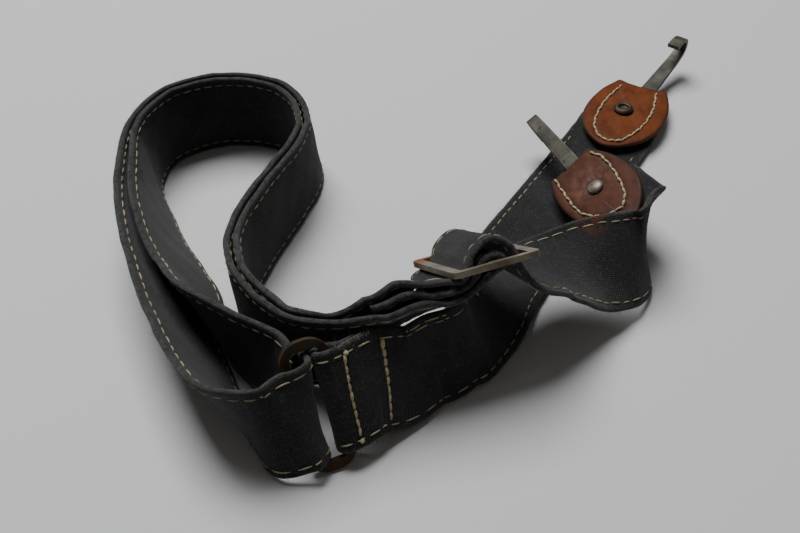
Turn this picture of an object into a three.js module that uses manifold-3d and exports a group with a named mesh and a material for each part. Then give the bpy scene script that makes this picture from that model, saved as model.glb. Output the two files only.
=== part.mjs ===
import * as THREE from "three";
import { mergeVertices } from "three/addons/utils/BufferGeometryUtils.js";
import Module from "manifold-3d";

// A carrying strap of folded canvas, laid down in a loop:
// two bands, a slider, a ring and two hooked leather ends.
// Millimetres, +Z up. X runs to the right and Y away from the viewer, with the floor at Z = 0.

const wasm = await Module();
wasm.setup();

// Driving dimensions
const bandWidth = 36;
const bandThick = 2.2;
const seat = 0.3;
const layerPitch = bandThick + 2 * seat;
const floorGap = 0.1;

const slider = {
  centre: { x: 25, y: -38.4, z: 39.5 },
  turn: 22,
  tilt: 35,
  across: 43,
  along: 30.8,
  rail: 2.9,
  bar: 3.3,
  middleBar: 3.6,
  thick: 2,
  corner: 2.5,
  slotCorner: 1,
};

const ring = {
  centre: { x: -25.8, y: -87, z: 21 },
  turn: 20,
  lean: 27,
  sway: 5,
  long: 46,
  wide: 17,
  bar: 3.4,
  thick: 2.4,
  corner: 7.5,
  innerCorner: 2,
};

const tabA = {
  centre: { x: 100.6, y: 94.4, z: 7.6 },
  heading: 62,
  slope: 0,
  roll: 0,
  size: 1,
  shift: 1.4,
  hookTurn: -9,
  bandAlongs: [26, 12, 0, -14],
};

const tabB = {
  centre: { x: 77.8, y: 25, z: 18.8 },
  heading: 115,
  slope: -8,
  roll: 33,
  size: 0.87,
  shift: 0,
  hookTurn: -5,
  bandAlongs: [24, 12, 0, -10, -18.7],
};

const leather = { thick: 2, dip: 1.5 };
const hook = { thick: 2, wide: 7, narrow: 4.6, taperFrom: 24, taperTo: 62 };
const trim = { from: -2, inset: 0.8, deep: 8 };
const rivet = { shank: 3.6, tail: 6, tailHigh: 0.9, sides: 20, hole: 4.4, holeLong: 30 };

// A swept band takes a new step after this length, this turn or this twist,
// looked at this many times between two stations.
const sweep = { length: 12, turn: 26, twist: 7, looks: 40 };
const weld = 0.001;

// Depths below a leather end's middle plane
const hookDrop = leather.thick / 2 + seat + hook.thick / 2;
const bandDrop = hookDrop + hook.thick / 2 + seat + bandThick / 2;
const tailDrop = bandDrop + bandThick / 2 + seat;

// Tables of the bands' routes, one row for each bend.
// x, y, z: the band's middle line. lean: degrees from standing on edge, + to the left of the way it runs.
const shortBandRoute = [
  { x: 75, y: 52, z: 1.6, lean: -90 },
  { x: 57, y: 23, z: 1.5, lean: -90 },
  { x: 45.5, y: 3.5, z: 2.2, lean: -87 },
  { x: 37.2, y: -15, z: 6.8, lean: -66 },
  { x: 31.7, y: -32, z: 11.6, lean: -55 },
  { x: 27.4, y: -47, z: 13.9, lean: -33 },
  { x: 23.9, y: -57.2, z: 18.8, lean: -18 },
  { x: 17.2, y: -63, z: 18.3, lean: -17 },
  { x: 11.1, y: -66, z: 18.4, lean: -19 },
  { x: 3, y: -72.4, z: 18.2, lean: -22 },
];

const tailRoute = [
  { x: 91.2, y: 0, z: 16.6, lean: -175 },
  { x: 91.2, y: -6.4, z: 17.6, lean: 173 },
  { x: 89.6, y: -12.2, z: 18.2, lean: 160 },
  { x: 85.4, y: -16.4, z: 19.2, lean: 148 },
  { x: 78.6, y: -19.6, z: 20.4, lean: 136 },
  { x: 69, y: -22.2, z: 21.4, lean: 117 },
  { x: 58.8, y: -26, z: 23.2, lean: 97 },
  { x: 49.4, y: -31.2, z: 26.4, lean: 84 },
];

// The doubled stretch: the line halfway between the two layers, and how far apart they run.
const loopRoute = [
  { x: -0.5, y: -53.2, z: 32.1, lean: 33, spread: 9.2 },
  { x: -7.8, y: -57.2, z: 29, lean: 24, spread: 8.6 },
  { x: -19.8, y: -62.8, z: 24.3, lean: 12, spread: 4.4 },
  { x: -34, y: -60.9, z: 20.6, lean: 5, spread: 3.5 },
  { x: -46.5, y: -50, z: 18.6, lean: 2, spread: 3.6 },
  { x: -55, y: -37, z: 18.3, lean: 3, spread: 3.4 },
  { x: -58, y: -24, z: 18.3, lean: 4, spread: 3.4 },
  { x: -56.5, y: -11, z: 18.3, lean: 5, spread: 3.4 },
  { x: -52.5, y: 2, z: 18.3, lean: 5, spread: 3.4 },
  { x: -46.5, y: 18, z: 18.3, lean: 4, spread: 3.4 },
  { x: -41, y: 32, z: 18.3, lean: 3, spread: 3.4 },
  { x: -37.6, y: 46, z: 18.3, lean: 5, spread: 3.4 },
  { x: -38, y: 57, z: 18.3, lean: 8, spread: 3.4 },
  { x: -43, y: 68, z: 18.3, lean: 7, spread: 3.4 },
  { x: -52, y: 75.8, z: 18.3, lean: 4, spread: 3.4 },
  { x: -64, y: 79.8, z: 18.3, lean: 3, spread: 3.4 },
  { x: -77, y: 79.8, z: 18.3, lean: 2, spread: 3.4 },
  { x: -88.5, y: 75.8, z: 18.3, lean: 1, spread: 3.4 },
  { x: -98, y: 68, z: 18.3, lean: 0, spread: 3.4 },
  { x: -103.2, y: 57, z: 18.3, lean: -3, spread: 3.4 },
  { x: -104.6, y: 44, z: 18.3, lean: -9, spread: 3.6 },
];

// The long band's free end runs on between the two layers for this many rows.
const returnRows = 2;

const outerToRing = [
  { x: -103, y: 22, z: 18, lean: -18 },
  { x: -97, y: 0, z: 17.5, lean: -26 },
  { x: -87.5, y: -23, z: 16.5, lean: -33 },
  { x: -77, y: -45, z: 16, lean: -38 },
  { x: -66, y: -67, z: 16, lean: -36 },
  { x: -58, y: -83, z: 16.5, lean: -26 },
  { x: -48, y: -92.6, z: 17.8, lean: -8 },
  { x: -38.8, y: -96.8, z: 19.2, lean: 14 },
];

const ringToInner = [
  { x: -40, y: -72, z: 18.6, lean: -8 },
  { x: -48.5, y: -64, z: 18.5, lean: 0 },
  { x: -60.5, y: -53.5, z: 18.3, lean: 8 },
  { x: -70.5, y: -40.5, z: 17.5, lean: 22 },
  { x: -77, y: -24, z: 16.5, lean: 36 },
  { x: -85.5, y: -8, z: 16.5, lean: 34 },
  { x: -92.5, y: 7, z: 17, lean: 28 },
  { x: -97.8, y: 23, z: 17.8, lean: 20 },
];

// Ways through the slider: along its length towards the tail, and above its plane.
// dip: degrees by which the band's near edge hangs below the slider's plane.
const sliderOver = [
  { along: 13.7, high: -8.6, dip: 11 },
  { along: 10.4, high: -3.4, dip: 8 },
  { along: 8.4, high: 0.6, dip: 3 },
  { along: 6.6, high: 4.4, dip: 0 },
  { along: 0.3, high: 8, dip: 0 },
  { along: -6.6, high: 4.6, dip: 0 },
  { along: -8.4, high: 0.8, dip: 0 },
  { along: -10.4, high: -2.1, dip: 0 },
  { along: -13.7, high: -2.9, dip: 0 },
  { along: -20.5, high: -3.4, dip: -9 },
];

const sliderRound = [
  { along: -20.5, high: -12.2, dip: -14 },
  { along: -12, high: -9, dip: -1.8 },
  { along: -5, high: -4.9, dip: 0 },
  { along: 0, high: -2.6, dip: 0 },
  { along: 2.8, high: -1.8, dip: 0 },
  { along: 3.7, high: 0, dip: 0 },
  { along: 2.8, high: 1.9, dip: 0 },
  { along: 0, high: 2.6, dip: 0 },
  { along: -3.6, high: 1.7, dip: 0 },
  { along: -6, high: -1.9, dip: 0 },
  { along: -12, high: -5.8, dip: -1 },
  { along: -20.5, high: -8, dip: -10.5 },
];

// Ways round the ring's two long bars: across the ring to the right,
// out of it towards the viewer, and up its length.
const ringTurnLeft = [
  { across: -8.4, out: 4.6, lift: -1.5 },
  { across: -5.2, out: 4, lift: -1.2 },
  { across: -2.4, out: 2, lift: -0.6 },
  { across: -1.7, out: -0.6, lift: 0 },
  { across: -2.6, out: -3.6, lift: 0.8 },
  { across: -5, out: -7, lift: 1.4 },
];

const ringTurnRight = [
  { across: 20, out: -0.8, lift: 0 },
  { across: 13.5, out: 1.5, lift: 0 },
  { across: 8, out: 2.9, lift: 0 },
  { across: 5.2, out: 2.9, lift: 0 },
  { across: 3.4, out: 1.6, lift: 0 },
  { across: 3, out: -0.2, lift: 0 },
  { across: 3.5, out: -1.9, lift: 0 },
  { across: 5.2, out: -3, lift: 0 },
  { across: 8, out: -3.1, lift: 0 },
];

const up = new THREE.Vector3(0, 0, 1);
const radians = THREE.MathUtils.degToRad;
const vector = ({ x, y, z }) => new THREE.Vector3(x, y, z);

// A turned frame at a place: side, away and out are its own three directions.
function frameAt(place, side, away) {
  const out = new THREE.Vector3().crossVectors(side, away);
  return { place: vector(place), side, away, out };
}

const sliderFrame = frameAt(
  slider.centre,
  new THREE.Vector3(Math.cos(radians(slider.turn)), Math.sin(radians(slider.turn)), 0),
  new THREE.Vector3(
    -Math.sin(radians(slider.turn)) * Math.cos(radians(slider.tilt)),
    Math.cos(radians(slider.turn)) * Math.cos(radians(slider.tilt)),
    -Math.sin(radians(slider.tilt)),
  ),
);

function standingFrame({ centre, turn, lean, sway }) {
  const side = new THREE.Vector3(1, 0, 0).applyAxisAngle(up, radians(turn));
  const away = up.clone().applyAxisAngle(side, -radians(lean));
  const out = new THREE.Vector3().crossVectors(side, away);
  side.applyAxisAngle(out, radians(sway));
  away.applyAxisAngle(out, radians(sway));
  return frameAt(centre, side, away);
}

const ringFrame = standingFrame(ring);

function inFrame(frame, side, away, out) {
  return frame.place.clone()
    .addScaledVector(frame.side, side)
    .addScaledVector(frame.away, away)
    .addScaledVector(frame.out, out);
}

// The middle line's height where a leaning band's lower edge is just above the floor
function restHeight(lean) {
  const standing = Math.abs(Math.cos(lean)) * bandWidth;
  const lying = Math.abs(Math.sin(lean)) * bandThick;
  return (standing + lying) / 2 + floorGap;
}

// Stations of a band: the middle line's point, and the direction from its lower to its upper edge.
function leaningStations(rows) {
  return rows.map((row, i) => {
    const before = vector(rows[Math.max(i - 1, 0)]);
    const after = vector(rows[Math.min(i + 1, rows.length - 1)]);
    const left = new THREE.Vector3().crossVectors(up, after.sub(before)).normalize();
    const lean = radians(row.lean);
    const edge = up.clone().multiplyScalar(Math.cos(lean)).addScaledVector(left, Math.sin(lean));
    const point = vector(row);
    point.z = Math.max(row.z, restHeight(lean));
    return { point, edge, left };
  });
}

function layerStations(rows, side) {
  return leaningStations(rows).map((station, i) => {
    const { point, edge, left } = station;
    const face = left.clone().addScaledVector(edge, -left.dot(edge)).normalize();
    return { point: point.clone().addScaledVector(face, side * rows[i].spread / 2), edge };
  });
}

// A second layer behind the stations of a band, seen from the viewer
function layerBehind(stations) {
  return stations.map((station, i) => {
    const before = stations[Math.max(i - 1, 0)].point;
    const after = stations[Math.min(i + 1, stations.length - 1)].point;
    const back = new THREE.Vector3().crossVectors(after.clone().sub(before), station.edge).normalize();
    return { point: station.point.clone().addScaledVector(back, layerPitch), edge: station.edge };
  });
}

const sliderStations = (rows) => rows.map((row) => ({
  point: inFrame(sliderFrame, row.along, 0, row.high),
  edge: sliderFrame.away.clone().negate().applyAxisAngle(sliderFrame.side, radians(row.dip)),
}));

// Along a leather end's middle line, under its hook
const tabStations = (frame, alongs, upperSide) => alongs.map((along) => ({
  point: inFrame(frame, 0, along, -bandDrop),
  edge: frame.side.clone().multiplyScalar(upperSide),
}));

const ringStations = (rows, sway) => rows.map((row) => ({
  point: inFrame(ringFrame, row.across, row.lift, row.out),
  edge: ringFrame.away.clone().applyAxisAngle(ringFrame.out, radians(sway)),
}));

// A band's path: a smooth curve through its stations, with closer steps where it bends.
class BandPath extends THREE.Curve {
  constructor(stations) {
    super();
    this.line = new THREE.CatmullRomCurve3(stations.map((s) => s.point), false, "centripetal");
    this.edges = new THREE.CatmullRomCurve3(stations.map((s) => s.edge), false, "catmullrom");
    this.steps = this.spreadSteps(stations.length * sweep.looks);
  }

  spreadSteps(fine) {
    const steps = [0];
    let cost = 0;
    let point = this.line.getPoint(0);
    let heading = this.line.getTangent(0);
    let edge = this.edges.getPoint(0).normalize();
    for (let i = 1; i <= fine; i += 1) {
      const nextPoint = this.line.getPoint(i / fine);
      const nextHeading = this.line.getTangent(i / fine);
      const nextEdge = this.edges.getPoint(i / fine).normalize();
      cost += point.distanceTo(nextPoint) / sweep.length;
      cost += heading.angleTo(nextHeading) / radians(sweep.turn);
      cost += edge.angleTo(nextEdge) / radians(sweep.twist);
      if (cost >= 1) {
        steps.push(i / fine);
        cost = 0;
      }
      point = nextPoint;
      heading = nextHeading;
      edge = nextEdge;
    }
    steps[steps.length - 1] = 1;
    return steps;
  }

  getSpacedPoints() {
    return this.steps.map((t) => this.line.getPoint(t));
  }

  computeFrenetFrames() {
    const tangents = this.steps.map((t) => this.line.getTangent(t));
    const binormals = this.steps.map((t, i) => {
      const edge = this.edges.getPoint(t);
      return edge.addScaledVector(tangents[i], -edge.dot(tangents[i])).normalize();
    });
    const across = (tangent, i) => new THREE.Vector3().crossVectors(binormals[i], tangent);
    const normals = tangents.map(across);
    return { tangents, normals, binormals };
  }
}

// A folded band's section: flat faces and round edges.
function bandSection() {
  const round = bandThick / 2;
  const straight = bandWidth / 2 - round;
  const section = new THREE.Shape();
  section.absarc(0, straight, round, 0, Math.PI);
  section.absarc(0, -straight, round, Math.PI, 2 * Math.PI);
  return section;
}

function bandGeometry(stations) {
  const extrudePath = new BandPath(stations);
  const steps = extrudePath.steps.length - 1;
  return new THREE.ExtrudeGeometry(bandSection(), { steps, extrudePath, curveSegments: 2 });
}

// Closed solids for cutting and joining
function solidOf(geometry) {
  const bare = geometry.clone();
  bare.deleteAttribute("normal");
  bare.deleteAttribute("uv");
  const merged = mergeVertices(bare, weld);
  const mesh = new wasm.Mesh({
    numProp: 3,
    vertProperties: new Float32Array(merged.attributes.position.array),
    triVerts: new Uint32Array(merged.index.array),
  });
  return new wasm.Manifold(mesh);
}

function geometryOf(solid) {
  const mesh = solid.getMesh();
  const geometry = new THREE.BufferGeometry();
  geometry.setAttribute("position", new THREE.BufferAttribute(new Float32Array(mesh.vertProperties), 3));
  geometry.setIndex(new THREE.BufferAttribute(new Uint32Array(mesh.triVerts), 1));
  geometry.computeVertexNormals();
  return geometry;
}

const matrixOf = (frame) => new THREE.Matrix4()
  .makeBasis(frame.side, frame.away, frame.out)
  .setPosition(frame.place);

function tabFrame(tab) {
  const heading = radians(tab.heading);
  const slope = radians(tab.slope);
  const roll = radians(tab.roll);
  const away = new THREE.Vector3(
    Math.cos(heading) * Math.cos(slope),
    Math.sin(heading) * Math.cos(slope),
    Math.sin(slope),
  );
  const level = new THREE.Vector3().crossVectors(away, up).normalize();
  const side = level.clone().applyAxisAngle(away, -roll);
  return frameAt(tab.centre, side, away);
}

// Rectangle with round corners, centred on the axes
function roundedFrame(wide, long, corner) {
  const shape = new THREE.Shape();
  const x = wide / 2 - corner;
  const y = long / 2 - corner;
  shape.absarc(x, y, corner, 0, Math.PI / 2);
  shape.absarc(-x, y, corner, Math.PI / 2, Math.PI);
  shape.absarc(-x, -y, corner, Math.PI, 1.5 * Math.PI);
  shape.absarc(x, -y, corner, 1.5 * Math.PI, 2 * Math.PI);
  return shape;
}

function plate(shape, thick, curveSegments) {
  const geometry = new THREE.ExtrudeGeometry(shape, { depth: thick, bevelEnabled: false, curveSegments });
  return geometry.translate(0, 0, -thick / 2);
}

function sliderGeometry() {
  const shape = roundedFrame(slider.along, slider.across, slider.corner);
  const slotAlong = (slider.along - 2 * slider.bar - slider.middleBar) / 2;
  const slotAcross = slider.across - 2 * slider.rail;
  const reach = (slotAlong + slider.middleBar) / 2;
  for (const side of [-1, 1]) {
    const slot = roundedFrame(slotAlong, slotAcross, slider.slotCorner).getPoints(3);
    shape.holes.push(new THREE.Path(slot.map((p) => new THREE.Vector2(p.x + side * reach, p.y))));
  }
  return plate(shape, slider.thick, 4).applyMatrix4(matrixOf(sliderFrame));
}

function ringGeometry() {
  const shape = roundedFrame(ring.wide, ring.long, ring.corner);
  const slot = roundedFrame(ring.wide - 2 * ring.bar, ring.long - 2 * ring.bar, ring.innerCorner);
  shape.holes.push(slot);
  return plate(shape, ring.thick, 5).applyMatrix4(matrixOf(ringFrame));
}

// Half-width of a leather end, from its hook side to its round end
const tabOutline = [
  { along: 24, half: 11.6 },
  { along: 13, half: 16 },
  { along: 2, half: 17.8 },
  { along: -9, half: 17.2 },
  { along: -18, half: 13.6 },
  { along: -25, half: 7.4 },
];
const tabEnd = -28.5;

function rivetHole(radius) {
  const geometry = new THREE.CylinderGeometry(radius, radius, rivet.holeLong, rivet.sides);
  return geometry.rotateX(Math.PI / 2);
}

function tabShape(tab, inset) {
  const shape = new THREE.Shape();
  const at = (half, along) => new THREE.Vector2(tab.shift + half * tab.size, along * tab.size - inset);
  const right = tabOutline.map((row) => at(row.half - inset, row.along));
  const left = tabOutline.map((row) => at(inset - row.half, row.along)).reverse();
  shape.moveTo(right[0].x, right[0].y);
  shape.splineThru([...right.slice(1), at(0, tabEnd), ...left]);
  shape.quadraticCurveTo(tab.shift, right[0].y - 2 * leather.dip, right[0].x, right[0].y);
  return shape;
}

function tabGeometry(tab, frame) {
  const solid = solidOf(plate(tabShape(tab, 0), leather.thick, 2));
  const cut = solid.subtract(solidOf(rivetHole(rivet.hole / 2)));
  return geometryOf(cut).applyMatrix4(matrixOf(frame));
}

// Hooks bent from flat bar: along from the rivet, and above the plate that lies under the leather
const hookUp = [
  { along: -6, high: 0 },
  { along: 10, high: 0 },
  { along: 20, high: 0 },
  { along: 25.5, high: 0 },
  { along: 40, high: 2.6 },
  { along: 52, high: 5 },
  { along: 56.6, high: 7.6 },
  { along: 57, high: 11.4 },
  { along: 53, high: 14 },
  { along: 46, high: 13.4 },
];
const hookDown = [
  { along: -6, high: 0 },
  { along: 10, high: 0 },
  { along: 18, high: 0 },
  { along: 24, high: 0 },
  { along: 35, high: 4.2 },
  { along: 45.6, high: 8.2 },
  { along: 50.6, high: 8.4 },
  { along: 52.6, high: 5 },
  { along: 50.4, high: 1.6 },
  { along: 44.6, high: 0.8 },
];

function hookGeometry(rows, frame, turn) {
  const line = new THREE.CatmullRomCurve3(rows.map((row) => new THREE.Vector3(row.along, row.high, 0)));
  const stops = line.getPoints(3 * (rows.length - 1));
  const faceAt = (i, side) => {
    const run = line.getTangent(i / (stops.length - 1));
    const lift = side * hook.thick / 2;
    return new THREE.Vector2(stops[i].x - run.y * lift, stops[i].y + run.x * lift);
  };
  const above = stops.map((stop, i) => faceAt(i, 1));
  const below = stops.map((stop, i) => faceAt(i, -1));
  const profile = new THREE.Shape([...below, ...above.reverse()]);
  const bar = new THREE.ExtrudeGeometry(profile, { depth: hook.wide, bevelEnabled: false });
  bar.translate(0, 0, -hook.wide / 2).rotateX(Math.PI / 2).rotateZ(Math.PI / 2);
  const outline = new THREE.Shape();
  outline.moveTo(-hook.wide / 2, -hook.taperFrom);
  outline.lineTo(hook.wide / 2, -hook.taperFrom);
  outline.lineTo(hook.wide / 2, hook.taperFrom);
  outline.lineTo(hook.narrow / 2, hook.taperTo);
  outline.lineTo(-hook.narrow / 2, hook.taperTo);
  outline.lineTo(-hook.wide / 2, hook.taperFrom);
  const taper = solidOf(plate(outline, 2 * hook.taperTo, 1));
  const cut = solidOf(bar).intersect(taper).subtract(solidOf(rivetHole(rivet.hole / 2)));
  return geometryOf(cut).rotateZ(radians(turn)).translate(0, 0, -hookDrop).applyMatrix4(matrixOf(frame));
}

// Rivet heads from the middle outwards, above the leather: one a hollow ring, one a low dome
const hollowHead = [
  { radius: 0, high: 0.4 },
  { radius: 1.7, high: 0.4 },
  { radius: 2.3, high: 1.3 },
  { radius: 3.4, high: 1.4 },
  { radius: 4.3, high: 0.5 },
  { radius: 4.3, high: 0 },
];
const domedHead = [
  { radius: 0, high: 1.5 },
  { radius: 1.6, high: 1.3 },
  { radius: 2.8, high: 0.7 },
  { radius: 3.3, high: 0 },
];

function rivetGeometry(head, frame) {
  const top = leather.thick / 2 + seat;
  const shank = rivet.shank / 2;
  const profile = [
    new THREE.Vector2(0, -tailDrop - rivet.tailHigh),
    new THREE.Vector2(rivet.tail / 2, -tailDrop - rivet.tailHigh),
    new THREE.Vector2(rivet.tail / 2, -tailDrop),
    new THREE.Vector2(shank, -tailDrop),
    new THREE.Vector2(shank, top),
    ...head.map((row) => new THREE.Vector2(row.radius, top + row.high)).reverse(),
  ];
  const geometry = new THREE.LatheGeometry(profile, rivet.sides).rotateX(Math.PI / 2);
  return geometry.applyMatrix4(matrixOf(frame));
}

// A band's end is cut to the leather's outline and pierced for the rivet.
function trimmed(geometry, tab, frame) {
  const reach = 2 * bandWidth;
  const around = new THREE.Shape();
  around.moveTo(-reach, trim.from);
  around.lineTo(reach, trim.from);
  around.lineTo(reach, reach);
  around.lineTo(-reach, reach);
  const keep = solidOf(plate(tabShape(tab, trim.inset), 3 * trim.deep, 2));
  const waste = solidOf(plate(around, trim.deep, 1)).subtract(keep);
  const hole = solidOf(rivetHole(rivet.hole / 2));
  const toFrame = matrixOf(frame).multiply(new THREE.Matrix4().makeTranslation(0, 0, -bandDrop));
  const cutter = geometryOf(waste.add(hole)).applyMatrix4(toFrame);
  return geometryOf(solidOf(geometry).subtract(solidOf(cutter)));
}

const finish = {
  canvas: { color: 0x26272b, roughness: 0.95, metalness: 0 },
  steel: { color: 0xa9a296, roughness: 0.5, metalness: 0.9 },
  rustySteel: { color: 0x4d3d2c, roughness: 0.7, metalness: 0.6 },
  orangeLeather: { color: 0x9c5424, roughness: 0.6, metalness: 0 },
  redLeather: { color: 0x7b4232, roughness: 0.6, metalness: 0 },
  dullBrass: { color: 0x74725a, roughness: 0.5, metalness: 0.8 },
  darkRivet: { color: 0x4a4234, roughness: 0.5, metalness: 0.8 },
  brightRivet: { color: 0xa59c90, roughness: 0.4, metalness: 0.9 },
};

function piece(name, geometry, look) {
  const mesh = new THREE.Mesh(geometry, new THREE.MeshStandardMaterial(look));
  mesh.name = name;
  return mesh;
}

const frameA = tabFrame(tabA);
const frameB = tabFrame(tabB);

const longStations = [
  ...tabStations(frameB, tabB.bandAlongs, -1),
  ...leaningStations(tailRoute),
  ...sliderStations(sliderOver),
  ...layerStations(loopRoute, -1),
  ...leaningStations(outerToRing),
  ...ringStations(ringTurnLeft, -ring.sway),
  ...leaningStations(ringToInner),
  ...layerStations(loopRoute, 1).reverse(),
  ...sliderStations(sliderRound),
  ...layerStations(loopRoute, 0).slice(0, returnRows),
];
const toRing = [...leaningStations(shortBandRoute), ...ringStations(ringTurnRight, 0)];
const hemFrom = shortBandRoute.length;
const shortStations = [
  ...tabStations(frameA, tabA.bandAlongs, -1),
  ...toRing,
  ...layerBehind(toRing.slice(hemFrom, hemFrom + 2)).reverse(),
];

const carryingStrap = new THREE.Group();
carryingStrap.add(
  piece("long_strap", trimmed(bandGeometry(longStations), tabB, frameB), finish.canvas),
  piece("short_strap", trimmed(bandGeometry(shortStations), tabA, frameA), finish.canvas),
  piece("slider_buckle", sliderGeometry(), finish.steel),
  piece("strap_ring", ringGeometry(), finish.rustySteel),
  piece("leather_tab_a", tabGeometry(tabA, frameA), finish.orangeLeather),
  piece("leather_tab_b", tabGeometry(tabB, frameB), finish.redLeather),
  piece("hook_a", hookGeometry(hookUp, frameA, tabA.hookTurn), finish.dullBrass),
  piece("hook_b", hookGeometry(hookDown, frameB, tabB.hookTurn), finish.dullBrass),
  piece("rivet_a", rivetGeometry(hollowHead, frameA), finish.darkRivet),
  piece("rivet_b", rivetGeometry(domedHead, frameB), finish.brightRivet),
);

// The origin is under the middle of the strap, on the floor.
const bounds = new THREE.Box3().setFromObject(carryingStrap);
const middle = bounds.getCenter(new THREE.Vector3());
carryingStrap.position.set(-middle.x, -middle.y, -bounds.min.z);

export default carryingStrap;
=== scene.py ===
import math
import random

import bmesh
import bpy
import numpy as np
from mathutils import Matrix, Vector


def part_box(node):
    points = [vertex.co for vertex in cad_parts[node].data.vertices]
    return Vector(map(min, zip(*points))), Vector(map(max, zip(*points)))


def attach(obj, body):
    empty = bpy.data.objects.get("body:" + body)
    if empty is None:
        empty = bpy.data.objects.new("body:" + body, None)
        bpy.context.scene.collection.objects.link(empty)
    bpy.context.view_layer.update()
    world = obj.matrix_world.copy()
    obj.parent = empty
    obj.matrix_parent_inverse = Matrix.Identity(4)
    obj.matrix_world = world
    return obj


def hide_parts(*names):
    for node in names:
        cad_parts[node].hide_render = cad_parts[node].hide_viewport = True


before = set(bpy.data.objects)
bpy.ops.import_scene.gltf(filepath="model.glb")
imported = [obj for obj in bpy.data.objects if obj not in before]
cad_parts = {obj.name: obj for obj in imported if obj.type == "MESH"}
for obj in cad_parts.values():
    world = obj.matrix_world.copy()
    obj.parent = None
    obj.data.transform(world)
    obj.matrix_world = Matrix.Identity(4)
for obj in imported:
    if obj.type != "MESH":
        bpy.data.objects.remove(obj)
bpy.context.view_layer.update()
mm = 0.001
rng = random.Random(7)
print("frame loaded")


# camera: looks along +Y and down at the floor point in the middle of the picture
view = {"pitch": 43, "distance": 410, "lens": 47.25, "sensor": 36}
sliderSet = {"centre": (25, -38.4, 39.5), "turn": 22, "tilt": 35}

low, high = (Vector(corner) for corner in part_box("slider_buckle"))
layoutShift = (low + high) / 2 - Vector(sliderSet["centre"]) * mm  # layout numbers to the frame

cameraData = bpy.data.cameras.new("photo_camera")
cameraData.lens = view["lens"]
cameraData.sensor_width = view["sensor"]
camera = bpy.data.objects.new("photo_camera", cameraData)
bpy.context.collection.objects.link(camera)
pitch = math.radians(view["pitch"])
back = Vector((0, -math.cos(pitch), math.sin(pitch)))
camera.location = Vector((layoutShift.x, layoutShift.y, 0)) + back * view["distance"] * mm
camera.rotation_euler = (math.pi / 2 - pitch, 0, 0)
bpy.context.scene.camera = camera
print("camera set")


# shader helpers
def newMaterial(name):
    material = bpy.data.materials.new(name)
    material.use_nodes = True
    return material, material.node_tree, material.node_tree.nodes["Principled BSDF"]


def addNode(tree, kind, settings=None, **sockets):
    node = tree.nodes.new("ShaderNode" + kind)
    for key, value in (settings or {}).items():
        setattr(node, key, value)
    for key, value in sockets.items():
        socket = node.inputs[int(key[1:])] if key[0] == "i" and key[1:].isdigit() else node.inputs[key]
        if isinstance(value, bpy.types.NodeSocket):
            tree.links.new(value, socket)
        else:
            socket.default_value = value
    return node


def calc(tree, operation, first, second=0.0, clamp=False):
    node = addNode(tree, "Math", {"operation": operation, "use_clamp": clamp}, i0=first, i1=second)
    return node.outputs[0]


def fade(tree, value, low, high):
    node = addNode(tree, "MapRange", {"interpolation_type": "SMOOTHSTEP"},
                   Value=value, **{"From Min": low, "From Max": high})
    return node.outputs["Result"]


def blendColors(tree, factor, first, second):
    node = addNode(tree, "Mix", {"data_type": "RGBA"}, Factor=factor, i6=first, i7=second)
    return node.outputs[2]


def noiseAt(tree, place, scale, detail=3.0, rough=0.55):
    node = addNode(tree, "TexNoise", None, Vector=place, Scale=scale, Detail=detail, Roughness=rough)
    return node.outputs["Fac"]


def bumpOn(tree, shader, height, strength, distance):
    node = addNode(tree, "Bump", None, Height=height, Strength=strength, Distance=distance)
    tree.links.new(node.outputs["Normal"], shader.inputs["Normal"])


def nearPlace(tree, place, centre, inner, outer):
    node = addNode(tree, "VectorMath", {"operation": "DISTANCE"}, i0=place, i1=centre)
    return fade(tree, node.outputs["Value"], outer, inner)


# object helpers
def addPiece(name, mesh, material, node=None):
    piece = bpy.data.objects.new(name, mesh)
    bpy.context.collection.objects.link(piece)
    mesh.materials.append(material)
    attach(piece, "root")
    if node:
        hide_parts(node)
    return piece


def meshFrom(bm, name, smooth=True):
    mesh = bpy.data.meshes.new(name)
    bm.to_mesh(mesh)
    bm.free()
    for face in mesh.polygons:
        face.use_smooth = smooth
    return mesh


def keepFlatPlace(mesh, places):
    layer = mesh.attributes.new("flatPlace", "FLOAT_VECTOR", "POINT")
    layer.data.foreach_set("vector", np.asarray(places, dtype=np.float32).ravel())


def joinedMesh(name, template, placed, tone=None):
    # placed: copies x corners x 3, one copy of the template's faces for each
    copies, corners = placed.shape[:2]
    faces = [[v.index for v in face.verts] for face in template.faces]
    mesh = bpy.data.meshes.new(name)
    allFaces = [[i + c * corners for i in face] for c in range(copies) for face in faces]
    mesh.from_pydata(placed.reshape(-1, 3).tolist(), [], allFaces)
    for face in mesh.polygons:
        face.use_smooth = True
    if tone is not None:
        layer = mesh.attributes.new("threadTone", "FLOAT", "POINT")
        layer.data.foreach_set("value", np.repeat(tone, corners).astype(np.float32))
    return mesh


# the bands' routes in layout millimetres, as the solids have them
band = {"width": 36, "thick": 2.2, "seat": 0.3, "floorGap": 0.1, "samples": 60}
ringSet = {"centre": (-25.8, -87, 21), "turn": 20, "lean": 27, "sway": 5}
tabA = {
    "centre": (100.6, 94.4, 7.6), "heading": 62, "slope": 0, "roll": 0, "size": 1, "shift": 1.4,
    "bandAlongs": [26, 12, 0, -14],
}
tabB = {
    "centre": (77.8, 25, 18.8), "heading": 115, "slope": -8, "roll": 33, "size": 0.87, "shift": 0,
    "bandAlongs": [24, 12, 0, -10, -18.7],
}
leather = {"thick": 2, "dip": 1.5, "hookThick": 2}

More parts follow.
